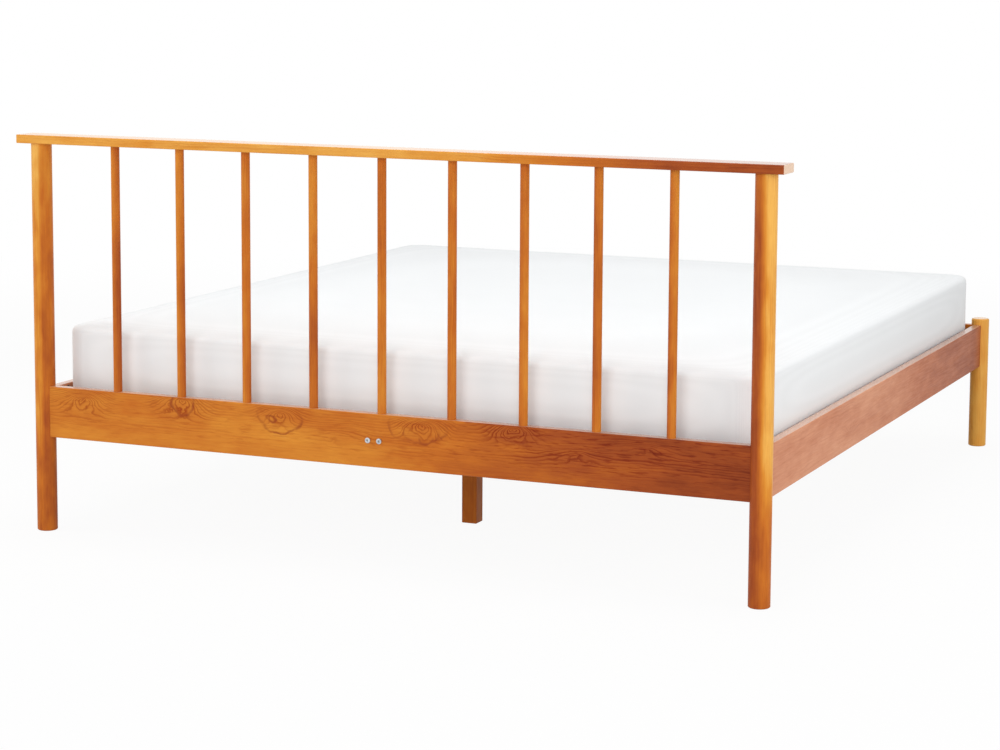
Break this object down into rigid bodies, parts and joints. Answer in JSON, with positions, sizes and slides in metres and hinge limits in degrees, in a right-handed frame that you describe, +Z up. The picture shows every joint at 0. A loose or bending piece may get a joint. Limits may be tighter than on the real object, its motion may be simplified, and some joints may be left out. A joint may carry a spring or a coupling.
{
  "type": "spindle bed",
  "caption": "Wide wooden bed with round posts, a head end of thin spindles under a flat top rail, plank side rails, a slat base and a loose mattress.",
  "frame": {"origin": "on the floor, below the middle of the whole bed's box", "axes": "+Z up, +Y towards the head end, +X across the bed, to the left of a person who lies on it on their back"},
  "size_m": [1.942, 2.128, 0.979],
  "materials": {
    "stained_pine": "satin lacquer over honey stain, long grain and knots",
    "clear_pine": "planed, thin clear lacquer",
    "beech": "bare, fluted",
    "zinc_steel": "bright zinc plate",
    "cam_zinc": "dull die cast",
    "webbing": "woven tape",
    "mattress_cover": "matt knitted cover"
  },
  "bodies": {
    "frame": {"centre_leg_head": "stained_pine", "centre_leg_foot": "stained_pine", "head_post_left": "stained_pine", "head_post_right": "stained_pine", "foot_post_left": "stained_pine", "foot_post_right": "stained_pine", "top_rail": "stained_pine", "head_board": "stained_pine", "foot_rail": "stained_pine", "side_rail_left": "stained_pine", "side_rail_right": "stained_pine", "spindle_1": "stained_pine", "spindle_2": "stained_pine", "spindle_3": "stained_pine", "spindle_4": "stained_pine", "spindle_5": "stained_pine", "spindle_6": "stained_pine", "spindle_7": "stained_pine", "spindle_8": "stained_pine", "spindle_9": "stained_pine", "ledger_left": "clear_pine", "ledger_right": "clear_pine", "centre_beam": "clear_pine", "beam_bracket_head": "zinc_steel", "beam_bracket_foot": "zinc_steel", "beam_bolts": "zinc_steel", "beam_nuts": "zinc_steel", "leg_studs": "zinc_steel", "ledger_screws": "zinc_steel", "bracket_screws": "zinc_steel", "cam_bolts": "zinc_steel", "cam_locks": "cam_zinc", "rail_dowels": "beech", "frame_dowels": "beech", "top_rail_dowels": "beech"},
    "slat_base": {"slat_01": "clear_pine", "slat_02": "clear_pine", "slat_03": "clear_pine", "slat_04": "clear_pine", "slat_05": "clear_pine", "slat_06": "clear_pine", "slat_07": "clear_pine", "slat_08": "clear_pine", "slat_09": "clear_pine", "slat_10": "clear_pine", "slat_11": "clear_pine", "slat_12": "clear_pine", "slat_13": "clear_pine", "slat_14": "clear_pine", "webbing_left": "webbing", "webbing_right": "webbing"},
    "mattress": {"mattress": "mattress_cover"}
  },
  "joints": [
    {"name": "slat_base_lift", "type": "slide", "parent": "frame", "child": "slat_base", "axis": [0, 0, 1], "range_m": [0, 0.72]},
    {"name": "mattress_lift", "type": "slide", "parent": "slat_base", "child": "mattress", "axis": [0, 0, 1], "range_m": [0, 0.72]}
  ]
}
